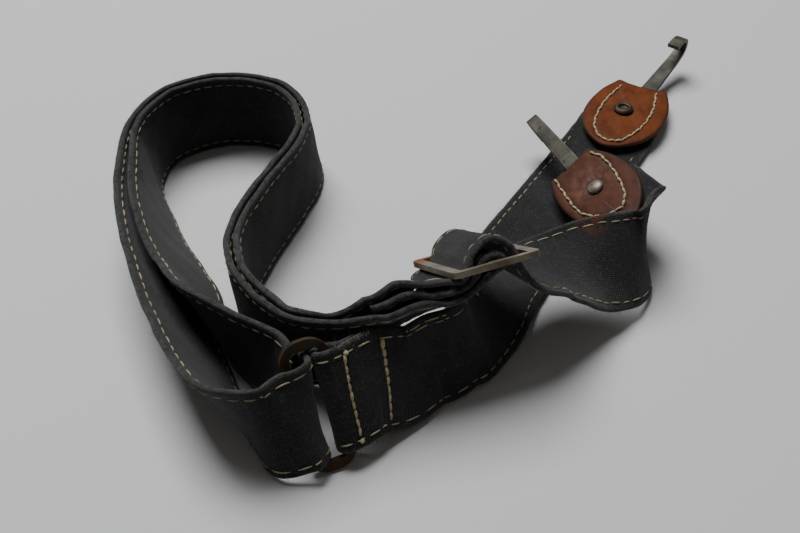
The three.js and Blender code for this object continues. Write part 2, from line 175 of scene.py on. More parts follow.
shortBandRoute = [  # x, y, z, lean
    (75, 52, 1.6, -90), (57, 23, 1.5, -90), (45.5, 3.5, 2.2, -87), (37.2, -15, 6.8, -66),
    (31.7, -32, 11.6, -55), (27.4, -47, 13.9, -33), (23.9, -57.2, 18.8, -18), (17.2, -63, 18.3, -17),
    (11.1, -66, 18.4, -19), (3, -72.4, 18.2, -22),
]
tailRoute = [
    (91.2, 0, 16.6, -175), (91.2, -6.4, 17.6, 173), (89.6, -12.2, 18.2, 160), (85.4, -16.4, 19.2, 148),
    (78.6, -19.6, 20.4, 136), (69, -22.2, 21.4, 117), (58.8, -26, 23.2, 97), (49.4, -31.2, 26.4, 84),
]
loopRoute = [  # x, y, z, lean, spread of the two layers
    (-0.5, -53.2, 32.1, 33, 9.2), (-7.8, -57.2, 29, 24, 8.6), (-19.8, -62.8, 24.3, 12, 4.4),
    (-34, -60.9, 20.6, 5, 3.5), (-46.5, -50, 18.6, 2, 3.6), (-55, -37, 18.3, 3, 3.4),
    (-58, -24, 18.3, 4, 3.4), (-56.5, -11, 18.3, 5, 3.4), (-52.5, 2, 18.3, 5, 3.4),
    (-46.5, 18, 18.3, 4, 3.4), (-41, 32, 18.3, 3, 3.4), (-37.6, 46, 18.3, 5, 3.4),
    (-38, 57, 18.3, 8, 3.4), (-43, 68, 18.3, 7, 3.4), (-52, 75.8, 18.3, 4, 3.4),
    (-64, 79.8, 18.3, 3, 3.4), (-77, 79.8, 18.3, 2, 3.4), (-88.5, 75.8, 18.3, 1, 3.4),
    (-98, 68, 18.3, 0, 3.4), (-103.2, 57, 18.3, -3, 3.4), (-104.6, 44, 18.3, -9, 3.6),
]
returnRows = 2
outerToRing = [
    (-103, 22, 18, -18), (-97, 0, 17.5, -26), (-87.5, -23, 16.5, -33), (-77, -45, 16, -38),
    (-66, -67, 16, -36), (-58, -83, 16.5, -26), (-48, -92.6, 17.8, -8), (-38.8, -96.8, 19.2, 14),
]
ringToInner = [
    (-40, -72, 18.6, -8), (-48.5, -64, 18.5, 0), (-60.5, -53.5, 18.3, 8), (-70.5, -40.5, 17.5, 22),
    (-77, -24, 16.5, 36), (-85.5, -8, 16.5, 34), (-92.5, 7, 17, 28), (-97.8, 23, 17.8, 20),
]
sliderOver = [  # along the slider, above its plane, dip of the near edge
    (13.7, -8.6, 11), (10.4, -3.4, 8), (8.4, 0.6, 3), (6.6, 4.4, 0), (0.3, 8, 0), (-6.6, 4.6, 0),
    (-8.4, 0.8, 0), (-10.4, -2.1, 0), (-13.7, -2.9, 0), (-20.5, -3.4, -9),
]
sliderRound = [
    (-20.5, -12.2, -14), (-12, -9, -1.8), (-5, -4.9, 0), (0, -2.6, 0), (2.8, -1.8, 0), (3.7, 0, 0),
    (2.8, 1.9, 0), (0, 2.6, 0), (-3.6, 1.7, 0), (-6, -1.9, 0), (-12, -5.8, -1), (-20.5, -8, -10.5),
]
ringTurnLeft = [  # across the ring, out of it, up its length
    (-8.4, 4.6, -1.5), (-5.2, 4, -1.2), (-2.4, 2, -0.6), (-1.7, -0.6, 0), (-2.6, -3.6, 0.8),
    (-5, -7, 1.4),
]
ringTurnRight = [
    (20, -0.8, 0), (13.5, 1.5, 0), (8, 2.9, 0), (5.2, 2.9, 0), (3.4, 1.6, 0), (3, -0.2, 0),
    (3.5, -1.9, 0), (5.2, -3, 0), (8, -3.1, 0),
]

upward = Vector((0, 0, 1))
hookDrop = leather["thick"] / 2 + band["seat"] + leather["hookThick"] / 2
bandDrop = hookDrop + leather["hookThick"] / 2 + band["seat"] + band["thick"] / 2
tailDrop = bandDrop + band["thick"] / 2 + band["seat"]


def turned(direction, axis, degrees):
    return Matrix.Rotation(math.radians(degrees), 3, axis) @ direction


def frameOf(centre, side, away):
    return {"place": Vector(centre), "side": side, "away": away, "out": side.cross(away)}


def inFrame(at, side, away, out):
    return at["place"] + at["side"] * side + at["away"] * away + at["out"] * out


def frameMatrix(at):
    basis = Matrix((at["side"], at["away"], at["out"])).transposed()
    return Matrix.Translation(at["place"]) @ basis.to_4x4()


def tabFrame(tab):
    heading, slope = math.radians(tab["heading"]), math.radians(tab["slope"])
    flat = math.cos(slope)
    away = Vector((math.cos(heading) * flat, math.sin(heading) * flat, math.sin(slope)))
    level = away.cross(upward).normalized()
    return frameOf(tab["centre"], turned(level, away, -tab["roll"]), away)


sliderSide = turned(Vector((1, 0, 0)), upward, sliderSet["turn"])
sliderAway = turned(turned(Vector((0, 1, 0)), upward, sliderSet["turn"]), sliderSide, -sliderSet["tilt"])
sliderFrame = frameOf(sliderSet["centre"], sliderSide, sliderAway)
ringSide = turned(Vector((1, 0, 0)), upward, ringSet["turn"])
ringAway = turned(upward, ringSide, -ringSet["lean"])
ringOut = ringSide.cross(ringAway)
ringFrame = frameOf(ringSet["centre"], turned(ringSide, ringOut, ringSet["sway"]),
                    turned(ringAway, ringOut, ringSet["sway"]))
frameA, frameB = tabFrame(tabA), tabFrame(tabB)


def restHeight(lean):
    lying = abs(math.sin(lean)) * band["thick"]
    return (abs(math.cos(lean)) * band["width"] + lying) / 2 + band["floorGap"]


def leaningStations(rows):
    stations = []
    for i, row in enumerate(rows):
        before, after = rows[max(i - 1, 0)], rows[min(i + 1, len(rows) - 1)]
        left = upward.cross(Vector(after[:3]) - Vector(before[:3])).normalized()
        lean = math.radians(row[3])
        edge = upward * math.cos(lean) + left * math.sin(lean)
        point = Vector((row[0], row[1], max(row[2], restHeight(lean))))
        stations.append((point, edge, left))
    return stations


def layerStations(rows, side):
    stations = []
    for row, (point, edge, left) in zip(rows, leaningStations(rows)):
        face = (left - edge * left.dot(edge)).normalized()
        stations.append((point + face * side * row[4] / 2, edge))
    return stations


def layerBehind(stations):
    pitch = band["thick"] + 2 * band["seat"]
    layer = []
    for i, station in enumerate(stations):
        before, after = stations[max(i - 1, 0)], stations[min(i + 1, len(stations) - 1)]
        behind = (after[0] - before[0]).cross(station[1]).normalized()
        layer.append((station[0] + behind * pitch, station[1]))
    return layer


def sliderStations(rows):
    away = sliderFrame["away"]
    return [(inFrame(sliderFrame, along, 0, high), turned(-away, sliderFrame["side"], dip))
            for along, high, dip in rows]


def ringStations(rows, sway):
    edge = turned(ringFrame["away"], ringFrame["out"], sway)
    return [(inFrame(ringFrame, across, lift, out), edge) for across, out, lift in rows]


def tabStations(at, alongs):
    return [(inFrame(at, 0, along, -bandDrop), -at["side"]) for along in alongs]


def splineThrough(rows, t, centripetal):
    rows = np.array([tuple(row) for row in rows], dtype=float)
    ends = np.vstack([2 * rows[0] - rows[1], rows, 2 * rows[-1] - rows[-2]])
    spot = t * (len(rows) - 1)
    i = np.minimum(spot.astype(int), len(rows) - 2)
    w = (spot - i)[:, None]
    p0, p1, p2, p3 = ends[i], ends[i + 1], ends[i + 2], ends[i + 3]
    if centripetal:
        d0, d1, d2 = (np.sqrt(np.linalg.norm(b - a, axis=1))[:, None]
                      for a, b in ((p0, p1), (p1, p2), (p2, p3)))
        t1 = ((p1 - p0) / d0 - (p2 - p0) / (d0 + d1) + (p2 - p1) / d1) * d1
        t2 = ((p2 - p1) / d1 - (p3 - p1) / (d1 + d2) + (p3 - p2) / d2) * d1
    else:
        t1, t2 = (p2 - p0) / 2, (p3 - p1) / 2
    c2 = 3 * (p2 - p1) - 2 * t1 - t2
    c3 = 2 * (p1 - p2) + t1 + t2
    return p1 + t1 * w + c2 * w ** 2 + c3 * w ** 3


def unit(rows):
    return rows / np.linalg.norm(rows, axis=1)[:, None]


def routeOf(stations):
    t = np.linspace(0, 1, len(stations) * band["samples"])
    points = splineThrough([s[0] for s in stations], t, True)
    runs = unit(np.gradient(points, axis=0))
    edges = splineThrough([s[1] for s in stations], t, False)
    edges = unit(edges - runs * np.sum(edges * runs, axis=1)[:, None])
    steps = np.linalg.norm(np.diff(points, axis=0), axis=1)
    along = np.concatenate([[0], np.cumsum(steps)])
    return {"along": along, "point": points, "edge": edges, "face": np.cross(edges, runs),
            "length": along[-1]}


def bend(route, flat):
    # flat: rows of along, across and out in millimetres, laid on the route in the frame's metres
    flat = np.asarray(flat, dtype=float)

    def at(key):
        columns = [np.interp(flat[:, 0], route["along"], route[key][:, k]) for k in range(3)]
        return np.stack(columns, axis=1)

    placed = at("point") + unit(at("edge")) * flat[:, 1:2] + unit(at("face")) * flat[:, 2:3]
    return placed * mm + np.array(layoutShift)


longRoute = routeOf(
    tabStations(frameB, tabB["bandAlongs"])
    + [s[:2] for s in leaningStations(tailRoute)]
    + sliderStations(sliderOver)
    + layerStations(loopRoute, -1)
    + [s[:2] for s in leaningStations(outerToRing)]
    + ringStations(ringTurnLeft, -ringSet["sway"])
    + [s[:2] for s in leaningStations(ringToInner)]
    + layerStations(loopRoute, 1)[::-1]
    + sliderStations(sliderRound)
    + layerStations(loopRoute, 0)[:returnRows]
)
toRing = [s[:2] for s in leaningStations(shortBandRoute)] + ringStations(ringTurnRight, 0)
hemFrom = len(shortBandRoute)
shortRoute = routeOf(
    tabStations(frameA, tabA["bandAlongs"]) + toRing + layerBehind(toRing[hemFrom:hemFrom + 2])[::-1]
)
print("routes", round(longRoute["length"]), round(shortRoute["length"]), "mm")


# canvas bands
canvas = {
    "step": 1.2, "sides": 56, "stitchInset": 3.2, "stitchPitch": 4.7,
    "bead": 0.06, "groove": 0.2, "ripple": 0.22, "edgeWave": 0.14,
    "dark": (0.007, 0.007, 0.008, 1), "faded": (0.0172, 0.017, 0.0188, 1),
    "rubbed": (0.06, 0.0585, 0.058, 1), "stain": (0.085, 0.03, 0.011, 1),
    "stainAt": (84, -17, 1.1), "hemEnd": 9, "rippleLong": 37, "edgeWaveLong": 23,
    "underLeather": 0.8, "narrowing": 6, "endSetback": 2,
}


def waves(along, across, seed, length):
    total = 0
    for k, share in enumerate((1, 0.6, 0.4)):
        turn = 2 * math.pi * (k + 1.3) / length
        total = total + share * np.sin(along * turn + across * turn * 0.7 * (-1) ** k + seed * (k + 2.1))
    return total / 2


def clothHalf(along, across):
    half, round_ = band["width"] / 2, band["thick"] / 2
    inside = np.clip(half - np.abs(across), 0, None)
    corner = np.sqrt(np.clip(1 - (np.clip(round_ - inside, 0, None) / round_) ** 2, 0, 1))
    pull = 0.75 + 0.25 * np.cos(2 * math.pi * along / canvas["stitchPitch"])
    bead = canvas["bead"] * np.exp(-((inside - 1.5) / 0.9) ** 2)
    groove = canvas["groove"] * np.exp(-((inside - canvas["stitchInset"]) / 0.5) ** 2) * pull
    return corner * (round_ + bead - groove)


tabOutline = [  # along, half-width
    (24, 11.6), (13, 16), (2, 17.8), (-9, 17.2), (-18, 13.6), (-25, 7.4),
]
tabEnd = -28.5


def endWidth(along, tab, start):
    # the band narrows to the leather's outline where it lies under it
    reach = start - along / tab["size"]
    outline = sorted(tabOutline)
    half = np.interp(reach, [row[0] for row in outline], [row[1] for row in outline])
    narrow = np.minimum(half * tab["size"] - canvas["underLeather"], band["width"] / 2)
    part = np.clip((reach + canvas["narrowing"]) / canvas["narrowing"], 0, 1)
    return (narrow * part + band["width"] / 2 * (1 - part)) / (band["width"] / 2)


def clothFlat(along, around, tab, start, seed):
    # around: turn about the section, the face first from upper to lower edge
    across = band["width"] / 2 * np.cos(around)
    side = np.where(np.sin(around) >= 0, 1, -1)
    out = side * clothHalf(along, across)
    out = out + canvas["ripple"] * waves(along, across, seed, canvas["rippleLong"])
    across = across * endWidth(along, tab, start)
    sway = waves(along, 0, seed + 3, canvas["edgeWaveLong"]) * np.abs(np.cos(around)) ** 3
    across = across + canvas["edgeWave"] * sway
    return np.stack([along, across, out], axis=1)


def buildBand(name, route, tab, start, seed, node):
    bm = bmesh.new()
    steps = round(route["length"] / canvas["step"])
    bmesh.ops.create_cone(bm, cap_ends=True, cap_tris=False, segments=canvas["sides"],
                          radius1=1, radius2=1, depth=1)
    runs = [e for e in bm.edges if abs(e.verts[0].co.z - e.verts[1].co.z) > 0.5]
    bmesh.ops.subdivide_edges(bm, edges=runs, cuts=steps - 1, use_grid_fill=True)
    tube = np.array([v.co for v in bm.verts])
    along = (tube[:, 2] + 0.5) * route["length"]
    around = np.arctan2(tube[:, 1], tube[:, 0])
    flat = clothFlat(along, around, tab, start, seed)
    for vert, place in zip(bm.verts, bend(route, flat)):
        vert.co = place
    bmesh.ops.recalc_face_normals(bm, faces=bm.faces[:])
    mesh = meshFrom(bm, name)
    keepFlatPlace(mesh, flat * mm)
    piece = addPiece(name, mesh, canvasMaterial, node)
    return piece


def makeCanvas():
    material, tree, shader = newMaterial("worn_canvas")
    flat = addNode(tree, "Attribute", {"attribute_name": "flatPlace"}).outputs["Vector"]
    objectPlace = addNode(tree, "TexCoord").outputs["Object"]
    parts = addNode(tree, "SeparateXYZ", None, Vector=flat).outputs
    across = calc(tree, "ABSOLUTE", parts["Y"])
    warp = addNode(tree, "TexWave", {"bands_direction": "X"}, Vector=flat, Scale=420.0, Distortion=0.6)
    weft = addNode(tree, "TexWave", {"bands_direction": "Y"}, Vector=flat, Scale=420.0, Distortion=0.6)
    weave = calc(tree, "MULTIPLY", warp.outputs["Fac"], weft.outputs["Fac"])
    grain = noiseAt(tree, flat, 1300, 4, 0.6)
    patches = fade(tree, noiseAt(tree, flat, 38, 4), 0.38, 0.66)
    body = blendColors(tree, patches, canvas["dark"], canvas["faded"])
    specks = calc(tree, "MULTIPLY", fade(tree, grain, 0.5, 0.7), 0.5)
    body = blendColors(tree, specks, body, canvas["rubbed"])
    worn = fade(tree, across, 16.3 * mm, 18.1 * mm)
    broken = fade(tree, noiseAt(tree, flat, 700, 5, 0.7), 0.36, 0.62)
    rubbed = calc(tree, "MULTIPLY", worn, calc(tree, "ADD", calc(tree, "MULTIPLY", broken, 0.75), 0.12))
    color = blendColors(tree, rubbed, body, canvas["rubbed"])
    longEnd = longRoute["length"]
    hem = fade(tree, parts["X"], (longEnd - canvas["hemEnd"]) * mm, longEnd * mm)
    color = blendColors(tree, calc(tree, "MULTIPLY", hem, broken), color, canvas["rubbed"])
    stainAt = bend(longRoute, [canvas["stainAt"]])[0]
    stain = calc(tree, "MULTIPLY", nearPlace(tree, objectPlace, stainAt, 2.5 * mm, 8.5 * mm),
                 fade(tree, noiseAt(tree, flat, 500, 4), 0.4, 0.55))
    color = blendColors(tree, calc(tree, "MULTIPLY", stain, 0.95), color, canvas["stain"])
    tree.links.new(color, shader.inputs["Base Color"])
    shader.inputs["Roughness"].default_value = 0.95
    shader.inputs["Specular IOR Level"].default_value = 0.12
    shader.inputs["Sheen Weight"].default_value = 0.12
    shader.inputs["Sheen Roughness"].default_value = 0.6
    height = calc(tree, "ADD", calc(tree, "MULTIPLY", weave, 0.5), calc(tree, "MULTIPLY", grain, 0.7))
    bumpOn(tree, shader, height, 0.85, 0.35 * mm)
    return material


longSeed, shortSeed = 1.0, 5.0  # how the two bands' waves differ
canvasMaterial = makeCanvas()
longStart = tabB["bandAlongs"][0] - canvas["endSetback"]
shortStart = tabA["bandAlongs"][0] - canvas["endSetback"]
longStrap = buildBand("long_canvas_strap", longRoute, tabB, longStart, longSeed,
                      "long_strap")
shortStrap = buildBand("short_canvas_strap", shortRoute, tabA, shortStart, shortSeed,
                       "short_strap")
print("bands bent", len(longStrap.data.vertices), len(shortStrap.data.vertices))


# thread
thread = {
    "length": 4, "thick": 0.64, "heavyLength": 3.5, "heavyPitch": 3.1, "heavyThick": 1.1,
    "cream": (0.47, 0.4, 0.23, 1), "soiled": (0.13, 0.118, 0.09, 1),
}


def makeThread():
    material, tree, shader = newMaterial("cream_thread")
    tone = addNode(tree, "Attribute", {"attribute_name": "threadTone"}).outputs["Fac"]
    place = addNode(tree, "TexCoord").outputs["Object"]
    dirt = fade(tree, noiseAt(tree, place, 1400, 3), 0.3, 0.7)
    mixed = calc(tree, "MULTIPLY", tone, calc(tree, "ADD", calc(tree, "MULTIPLY", dirt, 0.45), 0.6), True)
    color = blendColors(tree, mixed, thread["soiled"], thread["cream"])
    tree.links.new(color, shader.inputs["Base Color"])
    shader.inputs["Roughness"].default_value = 0.8
    shader.inputs["Specular IOR Level"].default_value = 0.2
    twist = addNode(tree, "TexWave", {"bands_direction": "DIAGONAL"}, Vector=place, Scale=520.0)
    bumpOn(tree, shader, twist.outputs["Fac"], 0.4, 0.1 * mm)
    return material


threadMaterial = makeThread()
stitchShape = bmesh.new()
bmesh.ops.create_uvsphere(stitchShape, u_segments=6, v_segments=6, radius=1)
bmesh.ops.rotate(stitchShape, verts=stitchShape.verts[:], matrix=Matrix.Rotation(math.pi / 2, 3, "Y"))
stitchCorners = np.array([v.co for v in stitchShape.verts])


def stitchFlat(centre, heading, length, thick, lift):
    # one stitch in flat millimetres: its ends go down into the cloth
    c = stitchCorners
    run = c[:, 0] * length / 2
    wide = c[:, 1] * thick / 2
    rise = c[:, 2] * thick / 2 + lift * (thick * 0.25 - thick * 0.55 * c[:, 0] ** 4)
    turnCos, turnSin = math.cos(heading), math.sin(heading)
    return np.stack([centre[0] + run * turnCos - wide * turnSin,
                     centre[1] + run * turnSin + wide * turnCos, centre[2] + rise], axis=1)


def edgeStitches(start, end, across, side, seed, tones):
    # a row of thin stitches along the band
    made = []
    along = start
    while along < end:
        length = thread["length"] * rng.uniform(0.85, 1.1)
        drift = across + rng.uniform(-0.18, 0.18)
        out = side * clothHalf(np.array([along]), np.array([across]))[0]
        ripple = waves(np.array([along]), np.array([across]), seed, canvas["rippleLong"])[0]
        out += canvas["ripple"] * ripple
        flat = stitchFlat((along, drift, out), rng.uniform(-0.05, 0.05), length, thread["thick"], side)
        made.append((flat, rng.uniform(*tones)))
        along += canvas["stitchPitch"]
    return made


def heavyStitches(path, out, wander):
    # thick stitches one behind the other along a path of (first, second) flat millimetres
    line = splineThrough(path, np.linspace(0, 1, 400), False)
    steps = np.linalg.norm(np.diff(line, axis=0), axis=1)
    along = np.concatenate([[0], np.cumsum(steps)])
    made = []
    for k in range(int(along[-1] / thread["heavyPitch"])):
        at = (k + 0.5) * thread["heavyPitch"]
        ends = [[np.interp(at + d, along, line[:, c]) for c in range(2)] for d in (-0.5, 0.5)]
        heading = math.atan2(ends[1][1] - ends[0][1], ends[1][0] - ends[0][0])
        heading += wander * (-1) ** k + rng.uniform(-0.06, 0.06)
        centre = (np.interp(at, along, line[:, 0]), np.interp(at, along, line[:, 1]), out)
        length = thread["heavyLength"] * rng.uniform(0.92, 1.12)
        thick = thread["heavyThick"] * rng.uniform(0.88, 1.1)
        made.append((stitchFlat(centre, heading, length, thick, 1), rng.uniform(0.7, 1)))
    return made


def sewn(name, stitches, place):
    placed = np.array([place(flat) for flat, tone in stitches])
    mesh = joinedMesh(name, stitchShape, placed, np.array([tone for flat, tone in stitches]))
    return addPiece(name, mesh, threadMaterial)


def onLong(flat):
    return bend(longRoute, flat)


def onShort(flat):
    return bend(shortRoute, flat)


stitchLine = band["width"] / 2 - canvas["stitchInset"]
boxLeft = [(247.4, 14.6), (248.4, 5), (249, -5), (249.4, -15)]  # along and across the short band
boxRight = [(236.6, 14.4), (235.4, 5), (233.6, -5), (232, -15.4)]
knots = [(246.6, 15, 1.1), (249.4, -15.2, 1.1), (174.5, 6, 1.1)]
doubled = {"from": 209, "to": 224, "across": 16.4}
sewnFrom = {"long": 44, "short": 52}  # past the leather ends
longStitches, shortStitches = [], []
for across in (stitchLine, -stitchLine):
    for side in (1, -1):
        longStitches += edgeStitches(sewnFrom["long"], longRoute["length"] - 2, across, side, longSeed,
                                     (0.2, 0.85))
        shortStitches += edgeStitches(sewnFrom["short"], shortRoute["length"] - 2, across, side, shortSeed,
                                      (0.35, 0.95))
shortStitches += edgeStitches(doubled["from"], doubled["to"], doubled["across"], 1, shortSeed, (0.6, 0.95))
shortStitches += heavyStitches(boxLeft, band["thick"] / 2, 0.05)
shortStitches += heavyStitches(boxRight, band["thick"] / 2, 0.05)
for knot in knots:
    for turn in (0.4, 1.9):
        shortStitches.append((stitchFlat(knot, turn, 1.9, 1.3, 1), 0.95))
sewn("long_strap_stitches", longStitches, onLong)
sewn("short_strap_stitches", shortStitches, onShort)
print("stitches", len(longStitches), len(shortStitches))


# leather ends
pad = {
    "sides": 150, "rings": 64, "edge": 0.9, "hole": 2.2, "groove": 0.28, "grooveWide": 1.1,
    "dimple": 0.55, "dimpleWide": 5.2, "droop": 0.35, "puff": 0.14,
}
seamA = [  # across and along the leather, from the rivet
    (-7.2, 19), (-9.6, 4), (-9.2, -9), (-7, -18), (-2.5, -24), (2.5, -25), (7.5, -21.6), (11.6, -9),
    (12, 5), (9, 20),
]
seamB = [
    (-8, 19.4), (-9.8, 10.3), (-11.6, -2), (-10.2, -9), (-5.6, -15), (1, -17), (6, -11.6), (9.9, 0.8),
    (11, 11), (8.6, 19.4),
]


def padRadius(tab, angles):
    # the outline's reach from the rivet in each direction
    size, shift = tab["size"], tab["shift"]
    right = [(shift + half * size, along * size) for along, half in tabOutline]
    left = [(2 * shift - x, y) for x, y in right]
    around = splineThrough(right + [(shift, tabEnd * size)] + left[::-1], np.linspace(0, 1, 600), False)
    t = np.linspace(0, 1, 80)[:, None]
    dipped = np.array([(shift, right[0][1] - 2 * leather["dip"])])
    mouth = np.array([left[0]]) * (1 - t) ** 2 + 2 * dipped * t * (1 - t) + np.array([right[0]]) * t ** 2
    line = np.vstack([around, mouth]) - np.array([(shift, 0)])
    turn = np.arctan2(line[:, 1], line[:, 0])
    order = np.argsort(turn)
    return np.interp(angles, turn[order], np.hypot(line[order, 0], line[order, 1]), period=2 * math.pi)


def padFlat(tab, tube, seam):
    # tube: a unit tube's corners, rolled into a disc with a hole: top, round edge, underside
    turn = np.arctan2(tube[:, 1], tube[:, 0])
    s = tube[:, 2] + 0.5
    reach = padRadius(tab, turn)
    inner = reach - pad["edge"]
    face = np.clip(np.minimum(s, 1 - s) / 0.44, 0, 1)
    bow = np.clip((s - 0.44) / 0.12, 0, 1) * math.pi
    away = pad["hole"] + (inner - pad["hole"]) * face + pad["edge"] * np.sin(bow)
    x = tab["shift"] * face + away * np.cos(turn)
    y = away * np.sin(turn)
    out = leather["thick"] / 2 * np.cos(bow)
    line = splineThrough(seam, np.linspace(0, 1, 300), False)
    near = np.sqrt(np.min((x[:, None] - line[:, 0]) ** 2 + (y[:, None] - line[:, 1]) ** 2, axis=1))
    top = np.where(s < 0.5, 1, 0) * np.abs(np.cos(bow))
    sunk = pad["groove"] * np.exp(-(near / pad["grooveWide"]) ** 2)
    sunk += pad["dimple"] * np.exp(-(np.hypot(x, y) / pad["dimpleWide"]) ** 2)
    out = out - top * sunk + top * pad["puff"] * waves(x, y, 2.0, 15)
    out = out - pad["droop"] * (away / reach) ** 6
    return np.stack([x, y, out], axis=1), reach - away


def inTab(at):
    place = frameMatrix(at)

    def placed(flat):
        return np.array([(place @ Vector(row)) * mm + layoutShift for row in flat])

    return placed


def buildPad(name, tab, at, seam, material, node):
    bm = bmesh.new()
    bmesh.ops.create_cone(bm, cap_ends=False, segments=pad["sides"], radius1=1, radius2=1, depth=1)
    runs = [e for e in bm.edges if abs(e.verts[0].co.z - e.verts[1].co.z) > 0.5]
    bmesh.ops.subdivide_edges(bm, edges=runs, cuts=pad["rings"] - 1, use_grid_fill=True)
    bm.verts.ensure_lookup_table()
    flat, edgeGap = padFlat(tab, np.array([v.co for v in bm.verts]), seam)
    for vert, place in zip(bm.verts, inTab(at)(flat)):
        vert.co = place
    bmesh.ops.bridge_loops(bm, edges=[e for e in bm.edges if e.is_boundary])
    bmesh.ops.recalc_face_normals(bm, faces=bm.faces[:])
    mesh = meshFrom(bm, name)
    keepFlatPlace(mesh, flat * mm)
    layer = mesh.attributes.new("edgeGap", "FLOAT", "POINT")
    layer.data.foreach_set("value", (edgeGap * mm).astype(np.float32))
    piece = addPiece(name, mesh, material, node)
    sewn(name + "_stitches", heavyStitches(seam, leather["thick"] / 2 - 0.1, 0.16), inTab(at))
    return piece


def makeLeather(name, look):
    material, tree, shader = newMaterial(name)
    flat = addNode(tree, "Attribute", {"attribute_name": "flatPlace"}).outputs["Vector"]
    edgeGap = addNode(tree, "Attribute", {"attribute_name": "edgeGap"}).outputs["Fac"]
    cloud = fade(tree, noiseAt(tree, flat, 70, 5, 0.6), 0.34, 0.66)
    color = blendColors(tree, cloud, look["deep"], look["main"])
    centre = nearPlace(tree, flat, (0, 0.004, 0.001), 3 * mm, look["paleReach"] * mm)
    pale = calc(tree, "MULTIPLY", centre, fade(tree, noiseAt(tree, flat, 240, 5, 0.65), 0.35, 0.7))
    color = blendColors(tree, calc(tree, "MULTIPLY", pale, look["paleShare"]), color, look["pale"])
    stretched = addNode(tree, "Mapping", None, Vector=flat, Rotation=(0, 0, 0.5), Scale=(1, 0.07, 1))
    scratch = fade(tree, noiseAt(tree, stretched.outputs["Vector"], 900, 3, 0.5), 0.64, 0.72)
    color = blendColors(tree, calc(tree, "MULTIPLY", scratch, 0.35), color, look["pale"])
    speck = fade(tree, noiseAt(tree, flat, 620, 2, 0.5), 0.7, 0.76)
    color = blendColors(tree, calc(tree, "MULTIPLY", speck, 0.7), color, look["speck"])
    rim = fade(tree, edgeGap, 2.2 * mm, 0.3 * mm)
    color = blendColors(tree, calc(tree, "MULTIPLY", rim, 0.8), color, look["rim"])
    grime = nearPlace(tree, flat, (0, 0, 0.001), 3.6 * mm, 6.5 * mm)
    color = blendColors(tree, calc(tree, "MULTIPLY", grime, 0.55), color, look["rim"])
    tree.links.new(color, shader.inputs["Base Color"])
    rough = calc(tree, "ADD", calc(tree, "MULTIPLY", cloud, 0.15), 0.5)
    tree.links.new(rough, shader.inputs["Roughness"])
    shader.inputs["Specular IOR Level"].default_value = 0.16
    cells = addNode(tree, "TexVoronoi", None, Vector=flat, Scale=900.0).outputs["Distance"]
    creases = noiseAt(tree, flat, 260, 6, 0.7)
    height = calc(tree, "ADD", calc(tree, "MULTIPLY", cells, 0.4), calc(tree, "MULTIPLY", creases, 1.2))
    bumpOn(tree, shader, height, 0.45, 0.3 * mm)
    return material


orangeLook = {
    "main": (0.135, 0.032, 0.005, 1), "deep": (0.085, 0.019, 0.003, 1), "pale": (0.21, 0.07, 0.02, 1),
    "speck": (0.05, 0.02, 0.01, 1), "rim": (0.05, 0.015, 0.006, 1), "paleReach": 16, "paleShare": 0.3,
}
redLook = {
    "main": (0.086, 0.028, 0.015, 1), "deep": (0.05, 0.015, 0.008, 1), "pale": (0.18, 0.088, 0.057, 1),
    "speck": (0.03, 0.014, 0.01, 1), "rim": (0.033, 0.013, 0.009, 1), "paleReach": 13, "paleShare": 0.75,
}
buildPad("upper_leather_end", tabA, frameA, seamA, makeLeather("orange_worn_leather", orangeLook),
         "leather_tab_a")
buildPad("lower_leather_end", tabB, frameB, seamB, makeLeather("red_worn_leather", redLook),
         "leather_tab_b")
print("leather ends shaped")


# metal
metal = {
    "steel": (0.25, 0.215, 0.165, 1), "steelDark": (0.13, 0.105, 0.075, 1), "rust": (0.2, 0.06, 0.018, 1),
    "ringDark": (0.03, 0.026, 0.018, 1), "ringRust": (0.075, 0.034, 0.015, 1),
    "brass": (0.07, 0.067, 0.05, 1), "brassDark": (0.028, 0.026, 0.02, 1),
    "rivet": (0.075, 0.05, 0.03, 1), "rivetDark": (0.022, 0.016, 0.011, 1),
    "paleRivet": (0.3, 0.265, 0.21, 1),
}


def makeMetal(name, main, dark, spots, spotScale, spotFrom, rough, rustAt=None):
    material, tree, shader = newMaterial(name)
    place = addNode(tree, "TexCoord").outputs["Object"]
    cloud = fade(tree, noiseAt(tree, place, 120, 5), 0.35, 0.65)
    color = blendColors(tree, cloud, dark, main)
    flecks = fade(tree, noiseAt(tree, place, spotScale, 5, 0.65), spotFrom, spotFrom + 0.12)
    if rustAt:
        closeBy = nearPlace(tree, place, rustAt, 2 * mm, 14 * mm)
        flecks = calc(tree, "MAXIMUM", flecks, calc(tree, "MULTIPLY", closeBy, 0.85))
    color = blendColors(tree, flecks, color, spots)
    tree.links.new(color, shader.inputs["Base Color"])
    shader.inputs["Metallic"].default_value = 0.55
    roughness = calc(tree, "ADD", calc(tree, "MULTIPLY", flecks, 0.3), rough)
    tree.links.new(roughness, shader.inputs["Roughness"])
    bumpOn(tree, shader, noiseAt(tree, place, 900, 5, 0.6), 0.3, 0.15 * mm)
    return material


def bevelledCopy(name, node, material, width, segments=2):
    bm = bmesh.new()
    bm.from_mesh(bpy.data.objects[node].data)
    bmesh.ops.remove_doubles(bm, verts=bm.verts[:], dist=0.01 * mm)
    bmesh.ops.dissolve_limit(bm, angle_limit=math.radians(1), verts=bm.verts[:], edges=bm.edges[:])
    sharp = [e for e in bm.edges if e.is_manifold and e.calc_face_angle() > math.radians(40)]
    bmesh.ops.bevel(bm, geom=sharp, offset=width * mm, segments=segments, profile=0.5, affect="EDGES",
                    material=-1, clamp_overlap=True)
    bmesh.ops.triangulate(bm, faces=[f for f in bm.faces if len(f.verts) > 4])
    mesh = meshFrom(bm, name, smooth=False)
    return addPiece(name, mesh, material, node)


